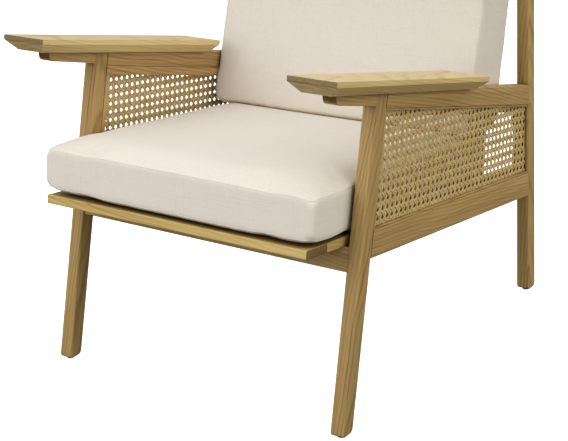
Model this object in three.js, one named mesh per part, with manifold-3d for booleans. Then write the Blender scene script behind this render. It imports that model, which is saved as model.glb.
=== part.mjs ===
// Planters chair: a wooden lounge chair with cane side panels, broad paddle arms
// and two loose cushions. Millimetres, +Z up, the front faces -Y, right is +X.
import * as THREE from 'three';
import { mergeVertices } from 'three/addons/utils/BufferGeometryUtils.js';
import Module from 'manifold-3d';

// Clearances and edges
const fit = 0.3; // gap between two pieces that touch
const overrun = 20; // how far a cutting solid runs past what it cuts
const edgeRound = 2.4; // rounding along the long edges of legs and posts
const edgeSegments = 2;

// Side frames, measured from the middle of the chair
const sideHalf = 327; // to the outer face of a side frame
const sideThick = 28; // legs, posts and side rails across the chair
const neckThick = 10; // middle part of the arm rail that passes through the leg

// Front legs, in the side view y runs backwards from the top of the leg
const legJointHeight = 577; // height where the middle line of the leg has y = 0
const legFootForward = 147; // how far the foot stands forward of that point
const legFootDepth = 32; // front to back at the floor
const legJointDepth = 34.5; // front to back under the arm
const footRadius = 9; // rounded corner at the lower end of legs and posts

// Rear posts
const postMiddle = 567; // y of the middle line of the post
const postHeight = 745;
const postFootDepth = 30.5;
const postTopDepth = 24;
const postTopRadius = 6;

// Foot glides
const glideRadius = 7;
const glideHeight = 4;
const glideChamfer = 1;
const glideSides = 20;

// Arm boards
const armFrontReach = 189; // forward of the leg joint
const armRearReach = 322; // behind the leg joint
const armFrontHeight = 653; // top edge at the front end
const armRearHeight = 531; // top edge at the rear end
const armThick = 26;
const armOverhang = 34.5; // past both faces of the side frame
const armEdge = 9; // upright edge above the undercut
const armInnerBevel = 27; // width of the undercut on the inner side
const armOuterBevel = 23; // width of the undercut on the outer side
const armRearBevel = 14; // length of the undercut at the rear end

// Arm rails
const nubReach = 142; // front end of the nub, forward of the leg joint
const nubFrontLow = 597; // height of its lower edge at the front end
const nubRearLow = 556.5; // height of its lower edge, carried on to y = 0
const nubRadius = 9;
const armRailFrontLow = 553; // height of the lower edge of the rail, carried on to y = 0
const armRailRearLow = 404; // height of the lower edge at the middle of the post

// Side rails
const sideRailFrontHigh = 340.5; // height of the upper edge at y = 0
const sideRailRearHigh = 261.5; // height of the upper edge at the middle of the post
const sideRailDeep = 48.5;

// Cane panels, from the outer face of the side frame inwards
const beadRecess = 1.5; // outer face of the side frame to the bead
const beadThick = 5;
const beadWide = 4;
const caneThick = 2.4;
const lipThick = 10; // lips are flush with the inner face of the side frame
const lipWide = 17;
const lipFrontWide = 10; // of the lip along the leg
const netPitch = 23.8; // one and a half strands of 5/8 inch webbing
const netHole = 15.5; // clear width of a gap in the net
const netMargin = 2; // least web between a gap and the lip

// Seat frame, a flat frame that slopes with the side rails
const seatFrontReach = 191.5; // forward of the leg joint
const seatFrontHeight = 356; // top edge of the front board
const seatRearGap = 7; // rear end of the seat frame to the back frame
const seatGap = 10; // end of the front board to the inner face of a leg
const seatThick = 17;
const frontBoardWide = 63;
const sideBoardWide = 45;
const rearBoardWide = 55;
const slatWide = 58;
const slatThick = 12;
const slatCount = 5;
const boardRound = 3; // rounding of the front and upper long edges
const boardEase = 1; // rounding round the end faces

// Cleats on the side rails, front apron and rear cross rail
const cleatWide = 24;
const cleatDeep = 17;
const apronThick = 22;
const apronSetback = 4; // behind the front face of the leg
const apronDeep = 43; // at its front face
const crossThick = 22;
const crossDeep = 42;
const crossDrop = 3; // upper edge below that of the side rails

// Back frame, leaning back against the rear posts
const backPlaneTop = 549; // y of its front face at the lower edge of the crest rail
const backPlaneHigh = 686; // that height
const backPlaneLow = 438; // y of its front face at the height of the seat frame
const backPlaneSeat = 265; // that height
const stileLow = 236; // height of the lower end of the stiles
const stileThick = 22;
const stileWide = 38;
const stileGap = 37; // outer edge of a stile to the inner face of a post
const crestDeep = 52;
const crestThick = 18;
const backSlatWide = 52;
const backSlatThick = 12;
const backSlatCount = 4;
const backSlatFirst = 95; // along the stile, lower end to the first slat
const backSlatLast = 60; // along the stile, last slat to the crest rail

// Seat cushion
const cushionSideGap = 3; // side of a cushion to the inner face of a leg
const seatCushionThick = 73; // at the edge band
const seatCushionNose = 4.5; // front face, ahead of the front board
const seatCushionCrown = 23; // rise of the top in the middle
const seatCushionSag = 14; // drop of the underside in the middle
const cushionRound = 16; // rounding of the edge band
const cushionDraw = 3; // how far the sides pull in between the corners

// Back cushion
const backCushionThick = 114;
const backCushionLength = 425; // along the slope of the back
const backCushionCrown = 13;
const backCushionSag = 9; // swell of the rear face against the slats
const backCushionRise = 23; // lower edge above the edge band of the seat cushion
const cushionCells = 12;
const cushionBandCells = 6;
const roundShares = [0, 1 / 3, 1]; // grid lines across the rounding of an edge

// Materials
const wood = () => new THREE.MeshStandardMaterial({ color: 0xb08c55, roughness: 0.55, metalness: 0 });
const paleWood = () => new THREE.MeshStandardMaterial({ color: 0xcbb07c, roughness: 0.5, metalness: 0 });
const cane = () => new THREE.MeshStandardMaterial({ color: 0xc2a56f, roughness: 0.6, metalness: 0 });
const linen = () => new THREE.MeshStandardMaterial({ color: 0xe2d8ca, roughness: 0.95, metalness: 0 });
const darkPlastic = () => new THREE.MeshStandardMaterial({ color: 0x1b1815, roughness: 0.6, metalness: 0 });

// Lines in the side view, where a point is (y, z)
const point = (y, z) => new THREE.Vector2(y, z);
const line = (from, to) => ({ from, to });

// Moves a line sideways: a positive distance moves it to the left of its direction.
function shifted(l, distance) {
  const along = l.to.clone().sub(l.from).normalize();
  const aside = point(-along.y, along.x).multiplyScalar(distance);
  return line(l.from.clone().add(aside), l.to.clone().add(aside));
}

// The point where two lines meet.
function meet(l, m) {
  const a = l.to.clone().sub(l.from);
  const b = m.to.clone().sub(m.from);
  const between = m.from.clone().sub(l.from);
  const share = between.cross(b) / a.cross(b);
  return l.from.clone().addScaledVector(a, share);
}

const levelAt = (z) => line(point(0, z), point(sideHalf, z));
const uprightAt = (y) => line(point(y, 0), point(y, sideHalf));

// Each line runs backwards or upwards
const armTop = line(point(-armFrontReach, armFrontHeight), point(armRearReach, armRearHeight));
const armUnder = shifted(armTop, -armThick);
const railTop = shifted(armUnder, -fit);
const nubLow = line(point(-nubReach, nubFrontLow), point(0, nubRearLow));
const railLow = line(point(0, armRailFrontLow), point(postMiddle, armRailRearLow));
const sideTop = line(point(0, sideRailFrontHigh), point(postMiddle, sideRailRearHigh));
const sideLow = shifted(sideTop, -sideRailDeep);

function taperedLine(foot, top, footDepth, topDepth, side) {
  return line(
    point(foot.x + (side * footDepth) / 2, foot.y),
    point(top.x + (side * topDepth) / 2, top.y),
  );
}

const legFoot = point(-legFootForward, 0);
const legJoint = point(0, legJointHeight);
const legFront = taperedLine(legFoot, legJoint, legFootDepth, legJointDepth, -1);
const legRear = taperedLine(legFoot, legJoint, legFootDepth, legJointDepth, 1);
const postFoot = point(postMiddle, 0);
const postTop = point(postMiddle, postHeight);
const postFront = taperedLine(postFoot, postTop, postFootDepth, postTopDepth, -1);
const postRear = taperedLine(postFoot, postTop, postFootDepth, postTopDepth, 1);

const slopeAlong = sideTop.to.clone().sub(sideTop.from).normalize();
const slopeUp = point(-slopeAlong.y, slopeAlong.x);
const seatCorner = point(-seatFrontReach, seatFrontHeight);
const backFront = line(point(backPlaneLow, backPlaneSeat), point(backPlaneTop, backPlaneHigh));
const backAlong = backFront.to.clone().sub(backFront.from).normalize();
const seatSlope = line(seatCorner, seatCorner.clone().addScaledVector(slopeAlong, overrun));
const seatTop = line(seatCorner, meet(seatSlope, shifted(backFront, seatRearGap)));
const seatLength = seatTop.from.distanceTo(seatTop.to);
const seatUnder = shifted(seatTop, -seatThick);

const parts = new THREE.Group();

function addMesh(name, geometry, material) {
  const mesh = new THREE.Mesh(geometry, material);
  mesh.name = name;
  parts.add(mesh);
  return mesh;
}

// Solids cut and joined
const wasm = await Module();
wasm.setup();

function solidOf(geometry) {
  const plain = geometry.clone();
  plain.deleteAttribute('normal');
  plain.deleteAttribute('uv');
  const merged = mergeVertices(plain);
  return new wasm.Manifold(
    new wasm.Mesh({
      numProp: 3,
      vertProperties: new Float32Array(merged.attributes.position.array),
      triVerts: new Uint32Array(merged.index.array),
    }),
  );
}

function geometryOf(solid) {
  const mesh = solid.getMesh();
  const geometry = new THREE.BufferGeometry();
  geometry.setAttribute('position', new THREE.BufferAttribute(mesh.vertProperties.slice(), 3));
  geometry.setIndex(new THREE.BufferAttribute(mesh.triVerts.slice(), 1));
  geometry.computeVertexNormals();
  return geometry;
}

// A side view outline, extruded across the chair from one x to another
const acrossBasis = new THREE.Matrix4().makeBasis(
  new THREE.Vector3(0, 1, 0),
  new THREE.Vector3(0, 0, 1),
  new THREE.Vector3(1, 0, 0),
);

function across(shape, fromX, toX, rounding = 0) {
  const geometry = new THREE.ExtrudeGeometry(shape, {
    depth: toX - fromX - 2 * rounding,
    steps: 1,
    bevelEnabled: rounding > 0,
    bevelThickness: rounding,
    bevelSize: rounding,
    bevelOffset: -rounding,
    bevelSegments: edgeSegments,
    curveSegments: 3,
  });
  geometry.translate(0, 0, fromX + rounding);
  return geometry.applyMatrix4(acrossBasis);
}

// An outline with chosen corners rounded; radii follows the points, 0 keeps a corner sharp.
function outline(points, radii = []) {
  const shape = new THREE.Shape();
  points.forEach((corner, i) => {
    const radius = radii[i] ?? 0;
    const before = points[(i + points.length - 1) % points.length];
    const after = points[(i + 1) % points.length];
    const start = corner.clone().addScaledVector(before.clone().sub(corner).normalize(), radius);
    const end = corner.clone().addScaledVector(after.clone().sub(corner).normalize(), radius);
    if (i === 0) shape.moveTo(start.x, start.y);
    else shape.lineTo(start.x, start.y);
    if (radius > 0) shape.quadraticCurveTo(corner.x, corner.y, end.x, end.y);
  });
  shape.closePath();
  return shape;
}

// The four corners between a lower, an upper, a front and a rear line
const between = (low, high, front, rear) => [
  meet(low, front),
  meet(low, rear),
  meet(high, rear),
  meet(high, front),
];

// The two ends in x of a piece of the side frame, for side -1 (left) or 1 (right)
const onSide = (side, outer, inner) => (side > 0 ? [inner, outer] : [-outer, -inner]);

const sides = [
  { name: 'left', side: -1 },
  { name: 'right', side: 1 },
];
const sideInner = sideHalf - sideThick;
const sideMiddle = sideHalf - sideThick / 2;
const seatHalf = sideInner - seatGap;
const stileOuter = sideInner - stileGap;
const cushionHalf = sideInner - cushionSideGap;
const soleHeight = levelAt(glideHeight + fit);

// Front leg: raked, open slot at the top for the neck of the arm rail
const legOutline = between(soleHeight, shifted(armUnder, -fit), legFront, legRear);
const neckLow = line(meet(nubLow, shifted(legFront, fit)), meet(railLow, shifted(legRear, -fit)));
const slotOutline = between(
  shifted(neckLow, -fit),
  shifted(armTop, overrun),
  shifted(legFront, overrun),
  shifted(legRear, -overrun),
);

function frontLeg(side) {
  const [from, to] = onSide(side, sideHalf, sideInner);
  const blank = across(outline(legOutline, [footRadius, footRadius]), from, to, edgeRound);
  const slotHalf = neckThick / 2 + fit;
  const [slotFrom, slotTo] = onSide(side, sideMiddle + slotHalf, sideMiddle - slotHalf);
  const slot = across(outline(slotOutline), slotFrom, slotTo);
  return geometryOf(solidOf(blank).subtract(solidOf(slot)));
}

// Rear post: upright, tapering to the top
const postOutline = between(soleHeight, levelAt(postHeight), postFront, postRear);

function rearPost(side) {
  const [from, to] = onSide(side, sideHalf, sideInner);
  const radii = [footRadius, footRadius, postTopRadius, postTopRadius];
  return across(outline(postOutline, radii), from, to, edgeRound);
}

// Arm rail: full thickness behind and in front of the leg, a neck between them
const railEnd = shifted(postFront, fit);
const railOutline = [
  nubLow.from,
  neckLow.from,
  neckLow.to,
  meet(railLow, railEnd),
  meet(railTop, railEnd),
  meet(railTop, uprightAt(-nubReach)),
];
const cheekOutline = between(
  shifted(neckLow, -overrun),
  shifted(railTop, overrun),
  shifted(legFront, fit),
  shifted(legRear, -fit),
);

function armRail(side) {
  const [from, to] = onSide(side, sideHalf, sideInner);
  let solid = solidOf(across(outline(railOutline, [nubRadius]), from, to));
  const neckHalf = neckThick / 2;
  const cheeks = [
    onSide(side, sideHalf + overrun, sideMiddle + neckHalf),
    onSide(side, sideMiddle - neckHalf, sideInner - overrun),
  ];
  for (const [cheekFrom, cheekTo] of cheeks) {
    solid = solid.subtract(solidOf(across(outline(cheekOutline), cheekFrom, cheekTo)));
  }
  return geometryOf(solid);
}

// Arm board: the cross section runs along the board, the side view shapes its ends
const armAlong = armTop.to.clone().sub(armTop.from).normalize();
const armFrontEnd = line(armTop.from, armTop.from.clone().add(point(armAlong.y, -armAlong.x)));
const armRearEnd = line(armTop.to, armTop.to.clone().add(point(armAlong.y, -armAlong.x)));

const armInner = sideInner - armOverhang;
const armOuter = sideHalf + armOverhang;

function armSection(side) {
  const inner = side * armInner;
  const outer = side * armOuter;
  return [
    point(inner, 0),
    point(inner, -armEdge),
    point(inner + side * armInnerBevel, -armThick),
    point(outer - side * armOuterBevel, -armThick),
    point(outer, -armEdge),
    point(outer, 0),
  ];
}

function armBoard(side) {
  const section = armSection(side);
  const shape = outline(side > 0 ? section : section.reverse());
  const length = armTop.from.distanceTo(armTop.to) + 2 * overrun;
  const body = new THREE.ExtrudeGeometry(shape, { depth: length, steps: 1, bevelEnabled: false });
  body.translate(0, 0, -overrun);
  body.applyMatrix4(
    new THREE.Matrix4().makeBasis(
      new THREE.Vector3(1, 0, 0),
      new THREE.Vector3(0, -armAlong.y, armAlong.x),
      new THREE.Vector3(0, -armAlong.x, -armAlong.y),
    ),
  );
  body.translate(0, armTop.to.x, armTop.to.y);
  const edgeLine = shifted(armTop, -armEdge);
  const undercut = meet(shifted(armRearEnd, -armRearBevel), armUnder);
  const ends = outline([
    meet(armFrontEnd, armTop),
    meet(armFrontEnd, armUnder),
    undercut,
    meet(armRearEnd, edgeLine),
    meet(armRearEnd, armTop),
  ]);
  const [from, to] = onSide(side, armOuter + overrun, armInner - overrun);
  return geometryOf(solidOf(body).intersect(solidOf(across(ends, from, to))));
}

// Side rail between the leg and the post
const sideRailOutline = between(sideLow, sideTop, shifted(legRear, -fit), shifted(postFront, fit));

// Cane panel: lines round the open field, moved inwards by an amount
const fieldLines = (inset) => ({
  low: shifted(sideTop, inset),
  high: shifted(railLow, -inset),
  front: shifted(legRear, -inset),
  rear: shifted(postFront, inset),
});

function fieldCorners(inset) {
  const { low, high, front, rear } = fieldLines(inset);
  return between(low, high, front, rear);
}

// A point lies inside a field when it is above low, below high, behind front and before rear.
function insideField(p, inset) {
  const corners = fieldCorners(inset);
  return corners.every((corner, i) => {
    const next = corners[(i + 1) % corners.length];
    return next.clone().sub(corner).cross(p.clone().sub(corner)) > 0;
  });
}

// The gaps of the net lie square to the side rail, only where the lip leaves them open
function netGaps() {
  const gaps = [];
  const origin = meet(sideTop, legRear);
  const reach = Math.ceil(postMiddle / netPitch);
  for (let row = 0; row < reach; row += 1) {
    for (let column = -reach; column < 2 * reach; column += 1) {
      const middle = origin
        .clone()
        .addScaledVector(slopeAlong, (column + 1 / 2) * netPitch)
        .addScaledVector(slopeUp, lipWide + netMargin + row * netPitch + netHole / 2);
      const corners = [[-1, -1], [-1, 1], [1, 1], [1, -1]].map(([a, b]) =>
        middle
          .clone()
          .addScaledVector(slopeAlong, (a * netHole) / 2)
          .addScaledVector(slopeUp, (b * netHole) / 2),
      );
      if (corners.every((corner) => insideField(corner, lipWide + netMargin / 2))) gaps.push(corners);
    }
  }
  return gaps;
}

const gaps = netGaps();
const caneOuter = sideHalf - beadRecess - beadThick - fit;

function canePanel(side) {
  const shape = outline(fieldCorners(fit));
  for (const corners of gaps) shape.holes.push(new THREE.Path(corners));
  const [from, to] = onSide(side, caneOuter, caneOuter - caneThick);
  return across(shape, from, to);
}

// Four strips round the field; the upper and lower ones run its full length.
function strips(wide, frontWide) {
  const edge = fieldLines(fit);
  const inner = { ...fieldLines(wide), front: fieldLines(frontWide).front };
  const clear = fieldLines(wide + fit);
  return {
    top: between(inner.high, edge.high, edge.front, edge.rear),
    bottom: between(edge.low, inner.low, edge.front, edge.rear),
    front: between(clear.low, clear.high, edge.front, inner.front),
    rear: between(clear.low, clear.high, inner.rear, edge.rear),
  };
}

const beads = strips(beadWide, beadWide);
const lips = strips(lipWide, lipFrontWide);

// Glide: a turned button under the foot
function glide(x, y) {
  const profile = [
    new THREE.Vector2(0, 0),
    new THREE.Vector2(glideRadius - glideChamfer, 0),
    new THREE.Vector2(glideRadius, glideChamfer),
    new THREE.Vector2(glideRadius, glideHeight),
    new THREE.Vector2(0, glideHeight),
  ];
  const geometry = new THREE.LatheGeometry(profile, glideSides);
  geometry.rotateX(Math.PI / 2);
  geometry.translate(x, y, 0);
  return geometry;
}

for (const { name, side } of sides) {
  const [railFrom, railTo] = onSide(side, sideHalf, sideInner);
  addMesh(`front_leg_${name}`, frontLeg(side), wood());
  addMesh(`rear_post_${name}`, rearPost(side), wood());
  addMesh(`arm_rail_${name}`, armRail(side), wood());
  addMesh(`arm_board_${name}`, armBoard(side), paleWood());
  addMesh(`side_rail_${name}`, across(outline(sideRailOutline), railFrom, railTo), wood());
  addMesh(`cane_panel_${name}`, canePanel(side), cane());
  const [beadFrom, beadTo] = onSide(side, sideHalf - beadRecess, sideHalf - beadRecess - beadThick);
  for (const [place, corners] of Object.entries(beads)) {
    addMesh(`cane_bead_${place}_${name}`, across(outline(corners), beadFrom, beadTo), wood());
  }
  const [lipFrom, lipTo] = onSide(side, sideInner + lipThick, sideInner);
  for (const [place, corners] of Object.entries(lips)) {
    addMesh(`cane_lip_${place}_${name}`, across(outline(corners), lipFrom, lipTo), wood());
  }
  const legMiddle = meet(line(legFoot, legJoint), soleHeight).x;
  addMesh(`glide_front_${name}`, glide(side * sideMiddle, legMiddle), darkPlastic());
  addMesh(`glide_rear_${name}`, glide(side * sideMiddle, postMiddle), darkPlastic());
}

// Seat frame: boards laid flat, with slats let in between the side boards
const along = (l, distance) => {
  const direction = l.to.clone().sub(l.from).normalize();
  return l.from.clone().addScaledVector(direction, distance);
};
const squareTo = (l, distance) => {
  const foot = along(l, distance);
  const direction = l.to.clone().sub(l.from);
  return line(foot, foot.clone().add(point(-direction.y, direction.x)));
};
const seatBoard = (from, to, thick) =>
  between(shifted(seatTop, -thick), seatTop, squareTo(seatTop, from), squareTo(seatTop, to));

const frontBoard = outline(seatBoard(0, frontBoardWide, seatThick), [boardRound, 0, 0, boardRound]);
addMesh('seat_front_board', across(frontBoard, -seatHalf, seatHalf, boardEase), paleWood());
const sideBoard = seatBoard(frontBoardWide + fit, seatLength - rearBoardWide - fit, seatThick);
for (const { name, side } of sides) {
  const [from, to] = onSide(side, seatHalf, seatHalf - sideBoardWide);
  addMesh(`seat_side_board_${name}`, across(outline(sideBoard), from, to), paleWood());
}
const rearBoard = seatBoard(seatLength - rearBoardWide, seatLength, seatThick);
addMesh('seat_rear_board', across(outline(rearBoard), -seatHalf, seatHalf), wood());

const slatHalf = seatHalf - sideBoardWide - fit;
const slatField = seatLength - frontBoardWide - rearBoardWide;
const slatSpace = (slatField - slatCount * slatWide) / (slatCount + 1);
for (let i = 0; i < slatCount; i += 1) {
  const from = frontBoardWide + slatSpace + i * (slatWide + slatSpace);
  const slat = outline(seatBoard(from, from + slatWide, slatThick));
  addMesh(`seat_slat_${i + 1}`, across(slat, -slatHalf, slatHalf), wood());
}

// Front apron, raked like the legs, carries the side boards of the seat frame
const apronFront = shifted(legFront, -apronSetback);
const apron = between(
  levelAt(meet(seatUnder, apronFront).y - apronDeep),
  shifted(seatUnder, -fit),
  apronFront,
  shifted(apronFront, -apronThick),
);
addMesh('front_apron', across(outline(apron), -(sideInner - fit), sideInner - fit), wood());

// Rear cross rail, behind the back stiles and no higher than the side rails
const crossTop = shifted(sideTop, -crossDrop);
const crossFront = shifted(backFront, -stileThick - fit);
const cross = between(
  shifted(crossTop, -crossDeep),
  crossTop,
  crossFront,
  shifted(crossFront, -crossThick),
);
addMesh('rear_cross_rail', across(outline(cross), -(sideInner - fit), sideInner - fit), wood());

// Cleats: strips on the inner faces of the side rails that carry the seat frame
const cleatTop = shifted(seatUnder, -fit);
const cleat = between(
  shifted(cleatTop, -cleatDeep),
  cleatTop,
  shifted(apronFront, -apronThick - fit),
  squareTo(seatTop, seatLength),
);
for (const { name, side } of sides) {
  const [from, to] = onSide(side, sideInner - fit, sideInner - fit - cleatWide);
  addMesh(`seat_cleat_${name}`, across(outline(cleat), from, to), wood());
}

// Back frame: two stiles with slats between them, and the crest rail on top
const crestLow = line(
  meet(backFront, levelAt(backPlaneHigh)),
  meet(backFront, levelAt(backPlaneHigh)).add(point(backAlong.y, -backAlong.x)),
);
const stileFoot = squareTo(line(meet(backFront, levelAt(stileLow)), backFront.to), 0);
const stile = between(stileFoot, shifted(crestLow, -fit), backFront, shifted(backFront, -stileThick));
for (const { name, side } of sides) {
  const [from, to] = onSide(side, stileOuter, stileOuter - stileWide);
  addMesh(`back_stile_${name}`, across(outline(stile), from, to), wood());
}
const crest = between(
  crestLow,
  shifted(crestLow, crestDeep),
  backFront,
  shifted(backFront, -crestThick),
);
const crestShape = outline(crest, [0, 0, boardRound, boardRound]);
addMesh('crest_rail', across(crestShape, -(sideInner - fit), sideInner - fit), wood());

const stileLine = line(meet(backFront, stileFoot), meet(backFront, crestLow));
const stileLength = stileLine.from.distanceTo(stileLine.to);
const backSlatHalf = stileOuter - stileWide - fit;
const backSlatStep =
  (stileLength - backSlatFirst - backSlatLast - backSlatWide) / (backSlatCount - 1);
for (let i = 0; i < backSlatCount; i += 1) {
  const from = backSlatFirst + i * backSlatStep;
  const slat = between(
    squareTo(stileLine, from),
    squareTo(stileLine, from + backSlatWide),
    stileLine,
    shifted(stileLine, -backSlatThick),
  );
  addMesh(`back_slat_${i + 1}`, across(outline(slat), -backSlatHalf, backSlatHalf), wood());
}

// Cushion: a rounded box whose side view is any quadrilateral. The faces across
// its thickness swell by crown and sag, and the sides pull in between the corners.
// Its corners run low front, low rear, high rear, high front as the sitter's side faces up.
function spread(t, cells, half, rounding) {
  const i = Math.round((t + 1 / 2) * cells);
  const k = Math.min(i, cells - i);
  const sign = i * 2 < cells ? -1 : 1;
  if (k < roundShares.length) return sign * (half - roundShares[k] * rounding);
  const last = roundShares.length - 1;
  return sign * (half - rounding) * ((cells / 2 - k) / (cells / 2 - last));
}

function cushion(corners, half, { crown, sag }) {
  const [lowFront, lowRear, highRear, highFront] = corners;
  const lengthHalf = lowFront.distanceTo(lowRear) / 2;
  const thickHalf = lowFront.distanceTo(highFront) / 2;
  const box = new THREE.BoxGeometry(1, 1, 1, cushionCells, cushionCells, cushionBandCells);
  const position = box.attributes.position;
  const spot = new THREE.Vector3();
  const core = new THREE.Vector3();
  for (let i = 0; i < position.count; i += 1) {
    spot.set(
      spread(position.getX(i), cushionCells, half, cushionRound),
      spread(position.getY(i), cushionCells, lengthHalf, cushionRound),
      spread(position.getZ(i), cushionBandCells, thickHalf, cushionRound),
    );
    core.set(
      THREE.MathUtils.clamp(spot.x, cushionRound - half, half - cushionRound),
      THREE.MathUtils.clamp(spot.y, cushionRound - lengthHalf, lengthHalf - cushionRound),
      THREE.MathUtils.clamp(spot.z, cushionRound - thickHalf, thickHalf - cushionRound),
    );
    spot.sub(core).setLength(cushionRound).add(core);
    const a = spot.x / half;
    const b = spot.y / lengthHalf;
    const c = spot.z / thickHalf;
    const swell = Math.sqrt(Math.max(0, (1 - a ** 4) * (1 - b ** 4)));
    const x = spot.x - cushionDraw * a ** 3 * (1 - b ** 4);
    const share = ((b - (cushionDraw / lengthHalf) * b ** 3 * (1 - a ** 4)) + 1) / 2;
    const low = lowFront.clone().lerp(lowRear, share);
    const high = highFront.clone().lerp(highRear, share);
    const outward = high.clone().sub(low).normalize();
    const at = low.lerp(high, (c + 1) / 2);
    at.addScaledVector(outward, swell * c * (c > 0 ? crown : sag));
    position.setXYZ(i, x, at.x, at.y);
  }
  box.deleteAttribute('normal');
  box.deleteAttribute('uv');
  const merged = mergeVertices(box);
  merged.computeVertexNormals();
  return merged;
}

// Seat cushion: lies on the seat frame, its edge band lifted clear by the sag
const seatBand = shifted(seatTop, seatCushionSag + fit);
const seatCushionStart = squareTo(seatBand, -seatCushionNose);
const seatCushionEnd = squareTo(seatBand, seatLength);
const seatBandTop = shifted(seatBand, seatCushionThick);
const seatCushionCorners = between(seatBand, seatBandTop, seatCushionStart, seatCushionEnd);
addMesh(
  'seat_cushion',
  cushion(seatCushionCorners, cushionHalf, { crown: seatCushionCrown, sag: seatCushionSag }),
  linen(),
);

// Back cushion: stands on the seat cushion and leans on the back frame
const backBandRear = shifted(backFront, backCushionSag + fit);
const backBandFront = shifted(backBandRear, backCushionThick);
const backBandLow = shifted(seatBandTop, backCushionRise);
const backLowRear = meet(backBandRear, backBandLow);
const backTopLine = squareTo(line(backLowRear, backLowRear.clone().add(backAlong)), backCushionLength);
const backCushionCorners = [
  backLowRear,
  meet(backBandRear, backTopLine),
  meet(backBandFront, backTopLine),
  meet(backBandFront, backBandLow),
];
addMesh(
  'back_cushion',
  cushion(backCushionCorners, cushionHalf, { crown: backCushionCrown, sag: backCushionSag }),
  linen(),
);

// The origin is on the floor under the middle of the whole chair
const chair = new THREE.Group();
const box = new THREE.Box3().setFromObject(parts);
parts.position.set(0, -(box.min.y + box.max.y) / 2, -box.min.z);
chair.add(parts);

export default chair;
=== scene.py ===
import math
import random

import bmesh
import bpy
import numpy as np
from mathutils import Matrix, Vector
from mathutils.bvhtree import BVHTree
from mathutils.kdtree import KDTree


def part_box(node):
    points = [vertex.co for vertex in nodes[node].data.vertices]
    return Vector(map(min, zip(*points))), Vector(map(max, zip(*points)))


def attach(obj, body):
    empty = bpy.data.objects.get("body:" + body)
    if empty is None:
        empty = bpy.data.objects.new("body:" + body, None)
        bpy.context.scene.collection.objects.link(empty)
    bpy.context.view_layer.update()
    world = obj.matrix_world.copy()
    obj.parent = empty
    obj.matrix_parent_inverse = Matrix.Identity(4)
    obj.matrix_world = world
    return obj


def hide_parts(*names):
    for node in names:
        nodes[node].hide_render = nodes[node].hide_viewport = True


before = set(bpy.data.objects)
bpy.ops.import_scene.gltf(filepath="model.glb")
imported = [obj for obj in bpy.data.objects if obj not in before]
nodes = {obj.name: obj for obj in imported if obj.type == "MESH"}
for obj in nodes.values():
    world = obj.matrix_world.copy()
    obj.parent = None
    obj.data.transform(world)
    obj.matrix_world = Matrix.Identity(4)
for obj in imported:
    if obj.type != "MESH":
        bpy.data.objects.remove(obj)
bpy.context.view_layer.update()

print("frame loaded:", len(nodes), "nodes")


# Small helpers for node trees

def addNode(tree, kind, inputs=None, **settings):
    node = tree.nodes.new(kind)
    for key, value in settings.items():
        setattr(node, key, value)
    for key, value in (inputs or {}).items():
        if isinstance(value, bpy.types.NodeSocket):
            tree.links.new(value, node.inputs[key])
        else:
            node.inputs[key].default_value = value
    return node


def newMaterial(name):
    material = bpy.data.materials.new(name)
    material.use_nodes = True
    material.node_tree.nodes.clear()
    return material, material.node_tree


def linkedObject(name, data):
    piece = bpy.data.objects.new(name, data)
    bpy.context.scene.collection.objects.link(piece)
    return piece


def addSockets(tree, direction, sockets):
    for name, kind in sockets.items():
        tree.interface.new_socket(name, in_out=direction, socket_type=f"NodeSocket{kind}")


def mathNode(tree, operation, a, b=0.0, clamp=False):
    node = addNode(tree, "ShaderNodeMath", {0: a, 1: b}, operation=operation, use_clamp=clamp)
    return node.outputs[0]


def weightedSum(tree, layers):
    # the last step keeps the sum between 0 and 1
    parts = [mathNode(tree, "MULTIPLY", layer, weight) for layer, weight in layers]
    total = parts[0]
    for i, part in enumerate(parts[1:], 2):
        total = mathNode(tree, "ADD", total, part, clamp=i == len(parts))
    return total


def strongest(tree, layers):
    a, b, c = layers
    return mathNode(tree, "MAXIMUM", mathNode(tree, "MAXIMUM", a, b), c)


def rampNode(tree, value, stops):
    ramp = addNode(tree, "ShaderNodeValToRGB", {0: value})
    elements = ramp.color_ramp.elements
    while len(elements) < len(stops):
        elements.new(0.5)
    for element, (place, tone) in zip(elements, stops):
        element.position = place
        element.color = (*tone, 1) if isinstance(tone, tuple) else (tone, tone, tone, 1)
    return ramp.outputs[0]


def mixColour(tree, share, a, b):
    mix = addNode(tree, "ShaderNodeMix", data_type="RGBA")
    for socket, value in ((mix.inputs[0], share), (mix.inputs[6], a), (mix.inputs[7], b)):
        if isinstance(value, bpy.types.NodeSocket):
            tree.links.new(value, socket)
        else:
            socket.default_value = value
    return mix.outputs[2]


def paintedCornerShade(tree, reach, stops):
    # painted shade: share of what is tucked in, joints, creases and undersides close to something,
    # read from an ambient occlusion node
    near = addNode(tree, "ShaderNodeAmbientOcclusion", {"Distance": reach}, samples=6)
    return rampNode(tree, near.outputs["AO"], stops)


def tinted(tree, share, colour, tint):
    pair = {6: colour, 7: (*tint, 1)}
    mix = addNode(tree, "ShaderNodeMix", pair, data_type="RGBA", blend_type="MULTIPLY")
    tree.links.new(share, mix.inputs[0])
    return mix.outputs[2]


def bumpNode(tree, height, strength, distance):
    sizes = {"Height": height, "Strength": strength, "Distance": distance}
    return addNode(tree, "ShaderNodeBump", sizes).outputs[0]


def finishMaterial(tree, inputs):
    shader = addNode(tree, "ShaderNodeBsdfPrincipled", inputs)
    addNode(tree, "ShaderNodeOutputMaterial", {"Surface": shader.outputs[0]})


# Camera: in front of the chair and to its right, with the lens shifted to look low

camera = {
    "place": (1.629, -2.2956, 1.314),
    "sensor": 36,
    "yaw": 0.5979,
    "pitch": 0.2920,
    "roll": -0.0409,
    "lens": 96.9,
    "shift": (-0.0630, -0.2109),
    "farthest": 50,
}


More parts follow.
